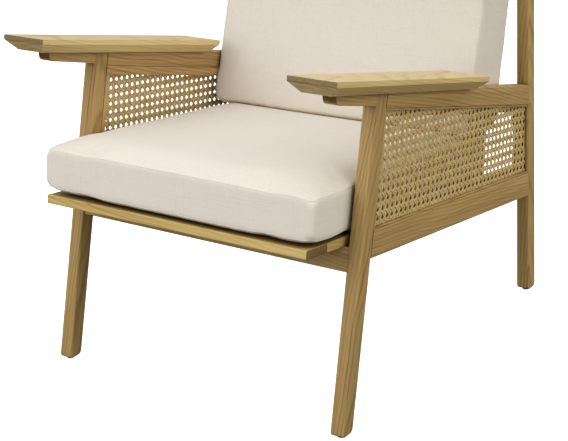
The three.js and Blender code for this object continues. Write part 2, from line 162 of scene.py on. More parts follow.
def makeCamera():
    data = bpy.data.cameras.new("camera")
    data.sensor_width = camera["sensor"]
    data.lens = camera["lens"]
    data.shift_x, data.shift_y = camera["shift"]
    data.clip_end = camera["farthest"]
    eye = linkedObject("camera", data)
    turn = (
        Matrix.Rotation(camera["yaw"], 4, "Z")
        @ Matrix.Rotation(math.pi / 2 - camera["pitch"], 4, "X")
        @ Matrix.Rotation(camera["roll"], 4, "Z")
    )
    eye.matrix_world = Matrix.Translation(camera["place"]) @ turn
    bpy.context.scene.camera = eye


makeCamera()
print("camera placed")


# Floor and lights

studio = {
    "floorSize": 30.0,
    "floorColour": (0.93, 0.93, 0.93),
    "floorRoughness": 0.9,
    "floorGloss": 0.2,
    "floorGlow": 0.85,
    # tone of the room, from straight down (0) over the horizon to straight up (1)
    "room": [
        (0.0, (0.100, 0.092, 0.055)),
        (0.47, (0.280, 0.272, 0.240)),
        (0.56, (0.70, 0.70, 0.69)),
        (0.80, 0.95),
        (1.0, 1.04),
    ],
    "lamps": [
        # place, aim, size, watts, colour
        ((-0.7, -3.3, 2.1), (0, 0, 0.4), 2.4, 44, (1.0, 0.99, 0.975)),
        ((3.2, 0.1, 1.5), (0, 0, 0.4), 2.4, 25, (1.0, 0.96, 0.82)),
    ],
}


def makeStudio():
    bpy.ops.mesh.primitive_plane_add(size=studio["floorSize"])
    floor = bpy.context.object
    floor.name = "floor"
    material, tree = newMaterial("floorPaint")
    finish = {
        "Base Color": (*studio["floorColour"], 1),
        "Roughness": studio["floorRoughness"],
        "Specular IOR Level": studio["floorGloss"],
        "Emission Color": (1, 1, 1, 1),
        "Emission Strength": studio["floorGlow"],
    }
    finishMaterial(tree, finish)
    floor.data.materials.append(material)
    floor.visible_diffuse = False  # the room's own lower half lights the undersides
    floor.visible_glossy = False
    world = bpy.data.worlds.new("studio")
    world.use_nodes = True
    sky = world.node_tree
    way = addNode(sky, "ShaderNodeTexCoord").outputs["Generated"]
    height = addNode(sky, "ShaderNodeSeparateXYZ", {0: way}).outputs[2]
    share = mathNode(sky, "ADD", mathNode(sky, "MULTIPLY", height, 0.5), 0.5)
    sky.links.new(rampNode(sky, share, studio["room"]), sky.nodes["Background"].inputs[0])
    bpy.context.scene.world = world
    for i, (place, aim, size, watts, colour) in enumerate(studio["lamps"]):
        data = bpy.data.lights.new(f"softbox{i}", "AREA")
        data.shape = "SQUARE"
        data.size = size
        data.energy = watts
        data.color = colour
        lamp = linkedObject(f"softbox{i}", data)
        lamp.location = place
        lamp.rotation_euler = (Vector(aim) - Vector(place)).to_track_quat("-Z", "Y").to_euler()
    bpy.context.scene.view_settings.view_transform = "Standard"


makeStudio()
print("studio ready")


# Wood: growth rings, fibres and pores in a block that each piece is sawn from

woodGrain = {
    "ringSpacing": 0.0068,
    "pithAway": (0.030, 0.075),  # nearest and farthest that the pith lies from the piece's middle
    "pithAlong": (1, 4),
    "wander": 0.034,
    "wanderStretch": (3.4, 9),
    "sideWander": 0.6,  # share of the wander that goes sideways
    "lean": 0.08,
    # darkness over the width of one ring, and how far one year's differs from the next
    "ring": [(0.0, 0.45), (0.10, 0.05), (0.55, 0.2), (0.88, 1.0), (1.0, 0.45)],
    "yearLeast": 0.35,
    "yearSpread": 0.75,
    # share of each layer in the darkness of the wood
    "shares": {"late": 0.55, "fine": 0.14, "streaks": 0.30, "patches": 0.22, "pores": 0.22},
    # stretch along and across the grain, offset, detail, roughness and contrast of each layer
    "layers": {
        "fine": (14, 620, 0.0, 4, 0.65, [(0.32, 0.0), (0.7, 1.0)]),
        "streaks": (3.5, 210, 3.0, 3, 0.6, [(0.36, 0.0), (0.68, 1.0)]),
        "patches": (3, 34, 5.0, 2, 0.5, [(0.3, 0.0), (0.7, 1.0)]),
        "pores": (70, 2100, 9.0, 1, 0.5, [(0.64, 0.0), (0.72, 1.0)]),
    },
    # darker end faces: partly the end grain's own tone, partly painted shade
    "endGrainAndShadeTint": (0.30, 0.26, 0.20),
    "endGrain": [(0.60, 0.0), (0.90, 1.0)],
    # painted shade in joints and narrow corners: its tint, then its reach and how it fades
    "paintedCornerShadeTint": (0.24, 0.18, 0.10),
    "corner": (0.016, [(0.15, 1.0), (0.70, 0.0)]),  # reach of the shade and how it fades
    "roughness": 0.44,
    "fibreRoughness": 0.12,
    "fibreHeight": 0.5,
    "bump": (0.25, 0.0004),  # strength and distance
    "gloss": 0.35,
    "coatRoughness": 0.35,
    "spread": (0.93, 1.07),  # darkest and lightest piece
}

# light and dark colour, share of clear coat and share of the shade in narrow corners
woodTones = {
    "frame": ((0.560, 0.380, 0.140), (0.215, 0.113, 0.030), 0.0, 1.0),
    "cane": ((0.560, 0.380, 0.140), (0.215, 0.113, 0.030), 0.0, 0.3),
    "seat": ((0.700, 0.520, 0.195), (0.385, 0.245, 0.070), 0.0, 1.0),
    "arm_board": ((0.845, 0.655, 0.295), (0.465, 0.312, 0.103), 0.45, 1.0),
}


def makeWoodGroup():
    tree = bpy.data.node_groups.new("woodGrain", "ShaderNodeTree")
    inputs = {"Place": "Vector", "Light": "Color", "Dark": "Color", "End": "Float", "PaintedShadeShare": "Float"}
    addSockets(tree, "INPUT", inputs)
    addSockets(tree, "OUTPUT", {"Colour": "Color", "Roughness": "Float", "Height": "Float"})
    start = addNode(tree, "NodeGroupInput")
    place = start.outputs["Place"]

    def stretched(x, yz, offset=0.0):
        stretch = {0: place, 1: (offset, offset, 0), 3: (x, yz, yz)}
        return addNode(tree, "ShaderNodeMapping", stretch).outputs[0]

    def noise(vector, detail, roughness):
        sizes = {"Vector": vector, "Scale": 1.0, "Detail": detail, "Roughness": roughness}
        return addNode(tree, "ShaderNodeTexNoise", sizes).outputs[0]

    # rings round a pith that runs beside the piece, leans and wanders, for arched figure
    drift = noise(stretched(*woodGrain["wanderStretch"]), 2, 0.5)
    drift = mathNode(tree, "SUBTRACT", drift, 0.5)
    wander = mathNode(tree, "MULTIPLY", drift, woodGrain["wander"])
    x, y, z = addNode(tree, "ShaderNodeSeparateXYZ", {0: place}).outputs
    aside = mathNode(tree, "ADD", y, mathNode(tree, "MULTIPLY", wander, woodGrain["sideWander"]))
    lean = mathNode(tree, "MULTIPLY", x, woodGrain["lean"])
    upward = mathNode(tree, "ADD", mathNode(tree, "ADD", z, wander), lean)
    squares = [mathNode(tree, "MULTIPLY", side, side) for side in (aside, upward)]
    radius = mathNode(tree, "SQRT", mathNode(tree, "ADD", *squares))
    turns = mathNode(tree, "DIVIDE", radius, woodGrain["ringSpacing"])
    late = rampNode(tree, mathNode(tree, "FRACT", turns), woodGrain["ring"])
    # each year's ring is stronger or weaker than the next
    number = {"W": mathNode(tree, "FLOOR", turns)}
    year = addNode(tree, "ShaderNodeTexWhiteNoise", number, noise_dimensions="1D").outputs[0]
    strength = mathNode(tree, "MULTIPLY", year, woodGrain["yearSpread"])
    strength = mathNode(tree, "ADD", strength, woodGrain["yearLeast"])
    late = mathNode(tree, "MULTIPLY", late, strength)
    layers = {"late": late}
    for word, (*stretch, detail, roughness, contrast) in woodGrain["layers"].items():
        layers[word] = rampNode(tree, noise(stretched(*stretch), detail, roughness), contrast)
    shares = woodGrain["shares"]
    shade = weightedSum(tree, [(layer, shares[word]) for word, layer in layers.items()])
    colour = mixColour(tree, shade, start.outputs["Light"], start.outputs["Dark"])
    # end faces darker: partly the end grain's own tone, partly painted shade
    colour = tinted(tree, start.outputs["End"], colour, woodGrain["endGrainAndShadeTint"])
    # painted shade: joints and narrow corners darkened by an ambient occlusion share
    paintedShade = paintedCornerShade(tree, *woodGrain["corner"])
    paintedShade = mathNode(tree, "MULTIPLY", paintedShade, start.outputs["PaintedShadeShare"])
    colour = tinted(tree, paintedShade, colour, woodGrain["paintedCornerShadeTint"])
    rough = mathNode(tree, "MULTIPLY", layers["fine"], woodGrain["fibreRoughness"])
    rough = mathNode(tree, "ADD", rough, woodGrain["roughness"])
    height = mathNode(tree, "MULTIPLY", layers["fine"], woodGrain["fibreHeight"])
    height = mathNode(tree, "SUBTRACT", height, layers["pores"])
    addNode(tree, "NodeGroupOutput", {"Colour": colour, "Roughness": rough, "Height": height})
    return tree


woodGroup = makeWoodGroup()


def makeWood(name, along, middle, seed, tone):
    # along is the grain's direction; the pattern's own x axis is laid on it, and the pith
    # passes the piece's middle at a distance of its own
    material, tree = newMaterial(name)
    rng = random.Random(seed)
    grainTurn = Vector(along).normalized().rotation_difference(Vector((1, 0, 0)))
    grainTurn = grainTurn.to_matrix().to_4x4()
    side = rng.uniform(0, 2 * math.pi)
    away = rng.uniform(*woodGrain["pithAway"])
    run = rng.uniform(*woodGrain["pithAlong"])
    pith = Vector((run, away * math.cos(side), away * math.sin(side)))
    offset = pith - grainTurn @ middle
    coords = addNode(tree, "ShaderNodeTexCoord")
    laid = {0: coords.outputs["Object"], 1: offset, 2: grainTurn.to_euler()}
    place = addNode(tree, "ShaderNodeMapping", laid)
    value = rng.uniform(*woodGrain["spread"])
    light, dark, coat, tuck = woodTones[tone]
    # faces that look along the grain show the end of the wood, darker partly in its own tone and
    # partly by painted shade
    pair = {0: coords.outputs["Normal"], 1: tuple(along)}
    facing = addNode(tree, "ShaderNodeVectorMath", pair, operation="DOT_PRODUCT")
    facing = mathNode(tree, "ABSOLUTE", facing.outputs[1])
    inputs = {
        "Place": place.outputs[0],
        "Light": (*(c * value for c in light), 1),
        "Dark": (*(c * value for c in dark), 1),
        "End": rampNode(tree, facing, woodGrain["endGrain"]),
        "PaintedShadeShare": tuck,
    }
    grain = addNode(tree, "ShaderNodeGroup", inputs, node_tree=woodGroup)
    finish = {
        "Base Color": grain.outputs["Colour"],
        "Roughness": grain.outputs["Roughness"],
        "Normal": bumpNode(tree, grain.outputs["Height"], *woodGrain["bump"]),
        "Specular IOR Level": woodGrain["gloss"],
        "Coat Weight": coat,
        "Coat Roughness": woodGrain["coatRoughness"],
    }
    finishMaterial(tree, finish)
    return material


# Directions that the pieces run in, taken from the frame itself

endDepth = {1: 0.03, 2: 0.04}  # how much of a piece counts as its end, along y and along z


def endsAlong(node, axis):
    # middle of the far end and middle of the near end
    points = np.array([v.co for v in nodes[node].data.vertices])
    run, depth = points[:, axis], endDepth[axis]
    far = points[run > run.max() - depth].mean(axis=0)
    near = points[run < run.min() + depth].mean(axis=0)
    return far, near


def lengthways(node):
    low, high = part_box(node)
    size = high - low
    if size.x > max(size.y, size.z):
        return Vector((1, 0, 0))
    far, near = endsAlong(node, 2 if size.z > size.y else 1)
    direction = Vector(far - near)
    direction.x = 0
    return direction.normalized()


woodEdges = {
    "width": 0.0014,
    "bead": 0.0006,
    "lip": 0.0002,
    "segments": 3,
    "angle": 32,
    "weld": 0.00002,
    "flat": 0.6,  # degrees that two facets of one flat may differ
}


def easeEdges(piece, width):
    # the loose triangles are welded and flats joined first, so that only real edges round
    weld = piece.modifiers.new("weld", "WELD")
    weld.merge_threshold = woodEdges["weld"]
    flats = piece.modifiers.new("flats", "DECIMATE")
    flats.decimate_type = "DISSOLVE"
    flats.angle_limit = math.radians(woodEdges["flat"])
    ease = piece.modifiers.new("ease", "BEVEL")
    ease.width = width
    ease.segments = woodEdges["segments"]
    ease.limit_method = "ANGLE"
    ease.angle_limit = math.radians(woodEdges["angle"])
    ease.harden_normals = True
    for polygon in piece.data.polygons:
        polygon.use_smooth = True


def dressWood():
    otherNodes = ("cushion", "glide", "cane_panel")
    woodNodes = [n for n in sorted(nodes) if not any(word in n for word in otherNodes)]
    for seed, node in enumerate(woodNodes):
        piece = nodes[node]
        tone = next((word for word in woodTones if node.startswith(word)), "frame")
        low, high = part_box(node)
        wood = makeWood(f"wood_{node}", lengthways(node), (low + high) / 2, seed, tone)
        piece.data.materials.clear()
        piece.data.materials.append(wood)
        kind = next((word for word in ("bead", "lip") if word in node), "width")
        easeEdges(piece, woodEdges[kind])


dressWood()
print("wood dressed")


# Arm boards: as the CAD boards, but their undercut goes round the front end too

armUndercut = {
    "edge": 0.0095,  # depth of the upright edge over the undercut
    "inner": 0.0185,
    "outer": 0.021,
    "front": 0.017,
    "rear": 0.010,
    "ease": 0.0009,
}


def makeArm(side, sign):
    node = f"arm_board_{side}"
    along = lengthways(node)
    down = Vector((0, along.z, -along.y))
    points = [v.co for v in nodes[node].data.vertices]
    runs, depths = [[p.dot(way) for p in points] for way in (along, down)]
    sideways = [abs(p.x) for p in points]
    top, under = min(depths), max(depths)
    cut = armUndercut

    def ring(depth, drawIn):
        # drawIn is 0 at the full outline and 1 at the foot of the undercut
        a = min(sideways) + drawIn * cut["inner"]
        b = max(sideways) - drawIn * cut["outer"]
        c = min(runs) + drawIn * cut["front"]
        d = max(runs) - drawIn * cut["rear"]
        plan = ((a, c), (b, c), (b, d), (a, d))
        return [Vector((sign * x, 0, 0)) + along * run + down * depth for x, run in plan]

    bm = bmesh.new()
    levels = ((top, 0), (top + cut["edge"], 0), (under, 1))
    rings = [[bm.verts.new(p) for p in ring(*level)] for level in levels]
    bm.faces.new(rings[0])
    bm.faces.new(reversed(rings[2]))
    for upper, lower in zip(rings, rings[1:]):
        for i in range(4):
            j = (i + 1) % 4
            bm.faces.new((upper[i], lower[i], lower[j], upper[j]))
    bmesh.ops.recalc_face_normals(bm, faces=bm.faces)
    mesh = bpy.data.meshes.new(f"arm_paddle_{side}")
    bm.to_mesh(mesh)
    bm.free()
    mesh.materials.append(nodes[node].data.materials[0])
    paddle = linkedObject(f"arm_paddle_{side}", mesh)
    easeEdges(paddle, cut["ease"])
    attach(paddle, "frame")
    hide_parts(node)


makeArm("left", -1)
makeArm("right", 1)
print("arm boards made")


# Glides: moulded plastic with a fine grain

glidePlastic = {
    "colour": (0.012, 0.010, 0.008),
    "grain": 900.0,
    "roughness": [(0.3, 0.45), (0.7, 0.65)],
    "bump": (0.2, 0.0002),
    "ease": 0.0006,
}


def dressGlides():
    material, tree = newMaterial("glidePlastic")
    coords = addNode(tree, "ShaderNodeTexCoord").outputs["Object"]
    size = {"Vector": coords, "Scale": glidePlastic["grain"]}
    noise = addNode(tree, "ShaderNodeTexNoise", size).outputs[0]
    finish = {
        "Base Color": (*glidePlastic["colour"], 1),
        "Roughness": rampNode(tree, noise, glidePlastic["roughness"]),
        "Normal": bumpNode(tree, noise, *glidePlastic["bump"]),
    }
    finishMaterial(tree, finish)
    for node in sorted(nodes):
        if node.startswith("glide"):
            nodes[node].data.materials.clear()
            nodes[node].data.materials.append(material)
            easeEdges(nodes[node], glidePlastic["ease"])


dressGlides()
print("glides dressed")


# Cane webbing: pairs of upright and lengthwise strands, with single slanting strands that
# cross on the pairs, so that an eight-sided hole stays open between four crossings

caneWeave = {
    "pitch": 0.015875,
    "pairSpread": 0.0044,  # between the middles of the two strands of a pair
    "strandWidth": 0.0039,
    "slantWidth": 0.0050,
    "strandThick": 0.0007,
    "strandSides": 6,
    "steps": {"upright": 4, "lengthways": 6, "slanting": 4},  # of a strand's path in one pitch
    "endStep": 0.2,  # share of a step that stays free before a strand's end
    "lift": 0.00045,  # how far a strand rises and falls over the ones that it crosses
    "slantLift": 0.0008,
    "slope": -0.1433,
    "inset": 0.002,  # share of the way to its middle by which the webbing's outline draws in
    # a hole's centre on each side, (y, z)
    "hole": {"left": (-0.1537, 0.5122), "right": (-0.1952, 0.3559)},
    "light": (0.79, 0.59, 0.250),
    "dark": (0.41, 0.265, 0.092),
    # painted shade where strands cross and lie close to the frame: its tint, then its reach and how
    # it fades
    "paintedCornerShadeTint": (0.40, 0.30, 0.17),
    "corner": (0.0022, [(0.30, 1.0), (0.80, 0.0)]),  # reach of the shade and how it fades
    "noise": {"broad": (60.0, 2.0, 0.35), "fine": (700.0, 3.0, 0.65)},  # scale, detail, share
    "contrast": [(0.36, 0.0), (0.66, 1.0)],
    "roughness": 0.42,
    "bump": (0.25, 0.0002),
}


def panelCorners(node):
    points = [(v.co.y, v.co.z) for v in nodes[node].data.vertices]
    ways = ((-1, -1), (1, -1), (1, 1), (-1, 1))
    return [max(points, key=lambda p: p[0] * a + p[1] * b) for a, b in ways]


def clipLine(start, step, outline):
    # the stretch of the line start + t * step that lies inside a convex outline
    low, high = -math.inf, math.inf
    for (ay, az), (by, bz) in zip(outline, outline[1:] + outline[:1]):
        normal = (-(bz - az), by - ay)
        ahead = normal[0] * step[0] + normal[1] * step[1]
        room = normal[0] * (start[0] - ay) + normal[1] * (start[1] - az)
        if abs(ahead) < 1e-12:
            if room < 0:
                return None
        elif ahead > 0:
            low = max(low, -room / ahead)
        else:
            high = min(high, -room / ahead)
    return (low, high) if high - low > caneWeave["strandWidth"] else None


def strandPaths(side):
    # each path is a list of (u, v, w): along the rail, up the panel and out of it, in metres
    slope = math.atan(caneWeave["slope"])
    cosine, sine = math.cos(slope), math.sin(slope)
    originY, originZ = caneWeave["hole"][side]
    pitch = caneWeave["pitch"]
    lift, slantLift = caneWeave["lift"], caneWeave["slantLift"]
    steps, margin = caneWeave["steps"], caneWeave["endStep"]

    def local(y, z):
        y, z = y - originY, z - originZ
        return y * cosine + z * sine, -y * sine + z * cosine

    outline = np.array([local(y, z) for y, z in panelCorners(f"cane_panel_{side}")])
    outline += (outline.mean(axis=0) - outline) * caneWeave["inset"]
    outline = outline.tolist()
    columns, rows = (
        range(math.floor(min(run) / pitch) - 1, math.ceil(max(run) / pitch) + 2)
        for run in zip(*outline)
    )
    straight, slanted = [], []

    def sample(start, step, height, count, target):
        span = clipLine(start, step, outline)
        if span is None:
            return
        gap = pitch / count
        first, last = math.ceil(span[0] / gap + margin), math.floor(span[1] / gap - margin)
        stops = [span[0]] + [i * gap for i in range(first, last + 1)] + [span[1]]
        target.append([(start[0] + t * step[0], start[1] + t * step[1], height(t)) for t in stops])

    spread = caneWeave["pairSpread"]
    root = math.sqrt(0.5)

    def uprightHeight(sign):
        # over every other pair, and the two of a pair take turns
        return lambda t: lift * math.sin(math.pi * t / pitch) * sign

    def lengthHeight(sign):
        # turns from one face to the other within the width of a pair
        def height(t):
            near = (t / pitch) % 1 - 0.5
            return lift * sign * math.sin(math.pi * max(-0.5, min(0.5, near * pitch / spread)))

        return height

    def slantHeight(sign):
        # crosses an upright pair on one face of the panel and a lengthwise pair on the other
        return lambda t: slantLift * sign * math.cos(2 * math.pi * t * root / pitch)

    pair = ((-spread / 2, 1), (spread / 2, -1))
    for column in columns:
        for aside, sign in pair:
            start = ((column + 0.5) * pitch + aside, 0.0)
            sample(start, (0, 1), uprightHeight(sign), steps["upright"], straight)
    for row in rows:
        for aside, _ in pair:
            start = (0.0, (row + 0.5) * pitch + aside)
            height = lengthHeight((-1) ** (row + 1))
            sample(start, (1, 0), height, steps["lengthways"], straight)
    reach = len(columns) + len(rows)
    for k in range(-reach, reach):
        for sign in (1, -1):
            start = ((k + 0.5) * pitch, 0.0)
            way = (root, root * sign)
            sample(start, way, slantHeight(sign), steps["slanting"], slanted)

    def placed(point, x):
        u, v, w = point
        return (x + w, originY + u * cosine - v * sine, originZ + u * sine + v * cosine)

    return straight, slanted, placed


def addSweep(tree, curve, section, material, caps):
    # the end of a tree that draws a section along a curve
    sweep = {"Curve": curve, "Profile Curve": section, "Fill Caps": caps}
    body = addNode(tree, "GeometryNodeCurveToMesh", sweep).outputs[0]
    smooth = addNode(tree, "GeometryNodeSetShadeSmooth", {0: body}).outputs[0]
    real = addNode(tree, "GeometryNodeRealizeInstances", {0: smooth}).outputs[0]
    painted = addNode(tree, "GeometryNodeSetMaterial", {"Geometry": real, "Material": material})
    addNode(tree, "NodeGroupOutput", {0: painted.outputs[0]})


def strandTree():
    tree = bpy.data.node_groups.new("caneStrands", "GeometryNodeTree")
    inputs = {"Paths": "Geometry", "Width": "Float", "Thickness": "Float", "Finish": "Material"}
    addSockets(tree, "INPUT", inputs)
    addSockets(tree, "OUTPUT", {"Strands": "Geometry"})
    start = addNode(tree, "NodeGroupInput").outputs
    curve = addNode(tree, "GeometryNodeMeshToCurve", {0: start["Paths"]}).outputs[0]
    upright = addNode(tree, "GeometryNodeSetCurveNormal", {0: curve}, mode="Z_UP").outputs[0]
    circle = {"Resolution": caneWeave["strandSides"], "Radius": 0.5}
    ring = addNode(tree, "GeometryNodeCurvePrimitiveCircle", circle).outputs[0]
    size = addNode(tree, "ShaderNodeCombineXYZ", {0: start["Width"], 1: start["Thickness"], 2: 1.0})
    flattened = {"Geometry": ring, "Scale": size.outputs[0]}
    section = addNode(tree, "GeometryNodeTransform", flattened).outputs[0]
    addSweep(tree, upright, section, start["Finish"], True)
    return tree


def setInput(modifier, name, value):
    for item in modifier.node_group.interface.items_tree:
        if item.item_type == "SOCKET" and item.in_out == "INPUT" and item.name == name:
            modifier[item.identifier] = value


def bakedMesh(piece):
    # the plain mesh that an object's modifiers make
    bpy.context.view_layer.update()
    evaluated = piece.evaluated_get(bpy.context.evaluated_depsgraph_get())
    return bpy.data.meshes.new_from_object(evaluated)


def growMesh(source, tree, values):
    # runs a tree on an object and gives back the mesh that it makes
    modifier = source.modifiers.new("grow", "NODES")
    modifier.node_group = tree
    for name, value in values.items():
        setInput(modifier, name, value)
    mesh = bakedMesh(source)
    bpy.data.objects.remove(source)
    return mesh


def pathMesh(name, paths):
    points, edges = [], []
    for path in paths:
        edges += [(len(points) + i, len(points) + i + 1) for i in range(len(path) - 1)]
        points += path
    mesh = bpy.data.meshes.new(name)
    mesh.from_pydata(points, edges, [])
    return linkedObject(name, mesh)


def makeCaneFinish():
    material, tree = newMaterial("caneRind")
    coords = addNode(tree, "ShaderNodeTexCoord").outputs["Object"]
    layers = []
    for scale, detail, share in caneWeave["noise"].values():
        size = {"Vector": coords, "Scale": scale, "Detail": detail}
        layers.append((addNode(tree, "ShaderNodeTexNoise", size).outputs[0], share))
    shade = rampNode(tree, weightedSum(tree, layers), caneWeave["contrast"])
    colour = mixColour(tree, shade, (*caneWeave["light"], 1), (*caneWeave["dark"], 1))
    # painted shade where strands cross and lie close to the frame
    paintedShade = paintedCornerShade(tree, *caneWeave["corner"])
    finish = {
        "Base Color": tinted(tree, paintedShade, colour, caneWeave["paintedCornerShadeTint"]),
        "Roughness": caneWeave["roughness"],
        "Normal": bumpNode(tree, layers[-1][0], *caneWeave["bump"]),
    }
    finishMaterial(tree, finish)
    return material


def makeCane():
    tree = strandTree()
    finish = makeCaneFinish()
    for side in ("left", "right"):
        node = f"cane_panel_{side}"
        low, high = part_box(node)
        straight, slanted, placed = strandPaths(side)
        bm = bmesh.new()
        for paths, width in ((straight, "strandWidth"), (slanted, "slantWidth")):
            values = {
                "Width": caneWeave[width],
                "Thickness": caneWeave["strandThick"],
                "Finish": finish,
            }
            bm.from_mesh(growMesh(pathMesh(f"{width}_{side}", paths), tree, values))
        x = (low.x + high.x) / 2
        for vertex in bm.verts:
            vertex.co = placed(vertex.co, x)
        bmesh.ops.recalc_face_normals(bm, faces=bm.faces)
        mesh = bpy.data.meshes.new(f"cane_webbing_{side}")
        bm.to_mesh(mesh)
        bm.free()
        mesh.materials.append(finish)
        webbing = linkedObject(f"cane_webbing_{side}", mesh)
        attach(webbing, "frame")
        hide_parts(node)
        print("cane webbing", side, len(mesh.polygons), "faces")


makeCane()


# Cushions: each is sewn as a box a little too small, swollen by cloth pressure and set down
# on what carries it. Its own axes are a across, b along it and c out of what it lies on.

cushionCloth = {
    "voxel": 0.0065,
    "quickVoxel": 0.012,
    "quality": 5,
    "pressure": 4.0,
    "frames": 20,
    "reach": 0.026,  # farthest that the filling may push a point
    "calm": 12,  # rounds of smoothing on the swelling
    "creases": 0.2,  # share of the cloth's own small creases that stays
    "edgeSegments": 3,
    "cornerPower": 6,  # how closely the cut of a corner keeps to it
    "cornerArc": 6,
}

cushionSeam = {
    "depth": 0.0008,
    "width": 0.007,
    "radius": 0.0008,
    "sides": 8,
    "cornerArc": 10,
    "nearest": 5,  # points of the cloth that carry one point of the seam
    "step": 0.006,  # between two points of the seam
    "calm": 4,  # rounds of smoothing on its path
    "pucker": 0.00015,
    "gather": 0.024,  # how far the gathers reach from the seam
    "waves": 5,
    "waveLength": (0.016, 0.060),
    "wavePhase": (0, 7),
    "waveHeight": (0.4, 1),
}

linen = {
    # a thread's stretch along each axis, the stretch across it and the offset of each layer
    "threads": ((70, 70, 70), 950, (0, 3, 5)),
    "slubs": ((11, 9, 14), 330, (7, 11, 13)),
    "cloud": (9, 17),  # stretch and offset
    "shares": {"threads": 0.36, "slubs": 0.22, "cloud": 0.16},
    "heights": {"slubs": 0.5, "cloud": 9.0},
    "bump": (0.35, 0.0005),
    "colour": (0.80, 0.748, 0.672),
    "shade": (0.66, 0.607, 0.528),
    "contrast": {"slubs": [(0.60, 0.0), (0.74, 1.0)], "gaps": [(0.42, 1.0), (0.66, 0.0)]},
    # shade of narrow corners and of wider ones: its reach and how it fades, then its tint
    "tuck": (0.024, [(0.10, 1.0), (0.26, 0.4), (0.52, 0.0)]),
    "tuckTint": (0.30, 0.23, 0.15),
    "near": (0.045, [(0.12, 1.0), (0.55, 0.0)]),
    "nearTint": (0.70, 0.60, 0.43),
    "roughness": 0.98,
    "threadRoughness": -0.1,
    "gloss": 0.15,
    "sheen": 0.12,
    "sheenRoughness": 0.5,
}

seatCushion = {
    "node": "seat_cushion",
    "body": "seat_pad",
    "along": (0, 1, -79 / 567),
    "seams": (0.011, 0.087),  # heights of the lower and upper seams
    "cornerRadius": 0.012,
    "edgeRadius": 0.0115,
    "cornerDrop": 0.06,  # share of its thickness that a corner loses
    "half": 0.2990,
    "swell": {"side": 0.004, "end": 0.004, "top": 0.024, "under": 0.022},
    "draw": 0.0015,  # how far the sewn edges pull in
    "skew": 0.0,
    "fill": 0.8,
    "value": 1.0,
    "seed": 11,
}

backCushion = {
    "node": "back_cushion",
    "body": "back_pad",
    "along": (0, 111 / 421, 1),
    "seams": (0.006, 0.123),
    "cornerRadius": 0.018,
    "edgeRadius": 0.006,
    "cornerDrop": 0.04,
    "half": 0.3040,
    "swell": {"side": 0.004, "end": 0.005, "top": 0.009, "under": 0.018},
    "draw": 0.0015,
    "skew": -0.120,  # the lower end follows the slope of the seat cushion
    "fill": 0.85,
    "value": 0.95,  # its cloth is a shade darker
    "seed": 23,
}


def cushionAxes(spec):
    across = Vector((1, 0, 0))
    along = Vector(spec["along"]).normalized()
    return np.array([across, along, across.cross(along)])


def roundedLoop(half, length, radius, arc):
    # once round the plan of a cushion, anticlockwise
    loop = []
    middles = ((half, length, 0), (-half, length, 1), (-half, 0, 2), (half, 0, 3))
    for a, b, quarter in middles:
        centreA = a - math.copysign(radius, a)
        centreB = b - radius if b > 0 else radius
        for i in range(arc + 1):
            angle = math.pi / 2 * (quarter + i / arc)
            loop.append((centreA + radius * math.cos(angle), centreB + radius * math.sin(angle)))
    return loop


def coordsOf(mesh):
    coords = np.empty(len(mesh.vertices) * 3)
    mesh.vertices.foreach_get("co", coords)
    return coords.reshape(-1, 3)


def cutBox(spec, half, length, voxel):
    loop = roundedLoop(half, length, spec["cornerRadius"], cushionCloth["cornerArc"])
    low, high = spec["seams"]
    bm = bmesh.new()
    rings = [[bm.verts.new((a, b, c)) for a, b in loop] for c in (low, high)]
    bm.faces.new(reversed(rings[0]))
    bm.faces.new(rings[1])
    for i in range(len(loop)):
        j = (i + 1) % len(loop)
        bm.faces.new((rings[0][i], rings[0][j], rings[1][j], rings[1][i]))
    sewn = [edge for edge in bm.edges if abs(edge.verts[0].co.z - edge.verts[1].co.z) < 1e-6]
    rounding = {"segments": cushionCloth["edgeSegments"], "profile": 0.5, "affect": "EDGES"}
    bmesh.ops.bevel(bm, geom=sewn, offset=spec["edgeRadius"], **rounding)
    mesh = bpy.data.meshes.new("cutBox")
    bm.to_mesh(mesh)
    bm.free()
    box = linkedObject("cutBox", mesh)
    remesh = box.modifiers.new("remesh", "REMESH")
    remesh.mode = "VOXEL"
    remesh.voxel_size = voxel
    mesh = bakedMesh(box)
    bpy.data.objects.remove(box)
    # the corners of the panels are cut back a little
    coords = coordsOf(mesh)
    near = np.abs(coords[:, 0] / half) * np.abs(coords[:, 1] / (length / 2) - 1)
    middle = (low + high) / 2
    share = 1 - spec["cornerDrop"] * np.clip(near, 0, 1) ** cushionCloth["cornerPower"]
    coords[:, 2] = middle + (coords[:, 2] - middle) * share
    mesh.vertices.foreach_set("co", coords.ravel())
    mesh.update()
    return mesh


def swellCloth(mesh):
    piece = linkedObject("swelling", mesh)
    filling = piece.modifiers.new("filling", "CLOTH")
    filling.settings.quality = cushionCloth["quality"]
    filling.settings.use_pressure = True
    filling.settings.uniform_pressure_force = cushionCloth["pressure"]
    filling.settings.effector_weights.gravity = 0
    filling.collision_settings.use_collision = False
    scene = bpy.context.scene
    for step in range(1, cushionCloth["frames"] + 1):
        scene.frame_set(step)
    coords = coordsOf(bakedMesh(piece))
    scene.frame_set(1)
    bpy.data.objects.remove(piece)
    return coords


def softLimit(values, limit, ease):
    # stays below the limit, and turns to it smoothly
    over = (values - limit) / ease
    return limit - ease * np.logaddexp(0, -over)


def aboveZero(values, ease):
    return -softLimit(-values, 0.0, ease)


def smoothStep(values, low, high):
    share = np.clip((values - low) / (high - low), 0, 1)
    return share * share * (3 - 2 * share)


def calmed(shift, mesh):
    # keeps the broad swelling and only a share of the small creases
    ends = np.empty(len(mesh.edges) * 2, int)
    mesh.edges.foreach_get("vertices", ends)
    a, b = ends.reshape(-1, 2).T
    count = np.bincount(ends, minlength=len(shift))[:, None]
    broad = shift.copy()
    for _ in range(cushionCloth["calm"]):
        around = np.zeros_like(broad)
        np.add.at(around, a, broad[b])
        np.add.at(around, b, broad[a])
        broad = (broad + around / count) / 2
    return broad + cushionCloth["creases"] * (shift - broad)


